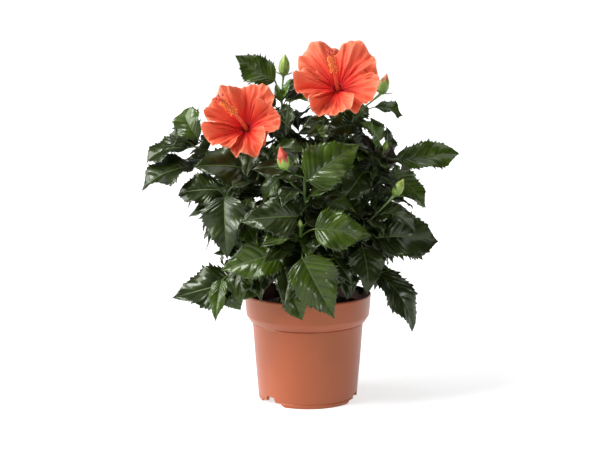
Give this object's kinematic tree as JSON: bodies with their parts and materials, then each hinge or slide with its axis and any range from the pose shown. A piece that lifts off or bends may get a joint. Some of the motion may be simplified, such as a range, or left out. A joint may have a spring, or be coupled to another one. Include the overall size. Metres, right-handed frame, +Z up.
{
  "type": "potted hibiscus shrub",
  "caption": "Flowering hibiscus shrub in a round nursery pot: short forked trunk, glossy toothed leaves, pointed buds and open coral blooms.",
  "frame": {"origin": "centre of the pot's flat underside, on the surface that the pot stands on", "axes": "+Z up the plant, -Y towards the front with the open blooms, +X to the right seen from the front"},
  "size_m": [0.321, 0.2402, 0.3665],
  "materials": {
    "pot": "satin terracotta-coloured plastic",
    "compost": "dark crumbly peat compost",
    "bark": "fine grey-brown bark",
    "young_bark": "smooth green-brown young bark",
    "leaf": "glossy dark green leaf",
    "petal": "soft coral petal"
  },
  "bodies": {
    "root": {"bloom_left": "petal", "bloom_right": "petal", "bough_back": "young_bark", "bough_back_low_left": "young_bark", "bough_back_low_right": "young_bark", "bough_centre": "young_bark", "bough_centre_low": "young_bark", "bough_left_arm": "young_bark", "bough_left_back": "young_bark", "bough_left_mid": "young_bark", "bough_low_back": "young_bark", "bough_low_front": "young_bark", "bough_low_left": "young_bark", "bough_low_right": "young_bark", "bough_right_back": "young_bark", "bough_right_low": "young_bark", "bough_right_mid": "young_bark", "bough_top_back": "young_bark", "bough_top_centre": "young_bark", "bough_top_left": "young_bark", "bough_top_right": "young_bark", "compost": "compost", "leaves_back": "leaf", "leaves_back_low_left": "leaf", "leaves_back_low_right": "leaf", "leaves_centre": "leaf", "leaves_centre_low": "leaf", "leaves_left_arm": "leaf", "leaves_left_back": "leaf", "leaves_left_mid": "leaf", "leaves_low_back": "leaf", "leaves_low_front": "leaf", "leaves_low_left": "leaf", "leaves_low_right": "leaf", "leaves_right_back": "leaf", "leaves_right_low": "leaf", "leaves_right_mid": "leaf", "leaves_top_back": "leaf", "leaves_top_centre": "leaf", "leaves_top_left": "leaf", "leaves_top_right": "leaf", "pot": "pot", "trunk": "bark"}
  },
  "joints": []
}
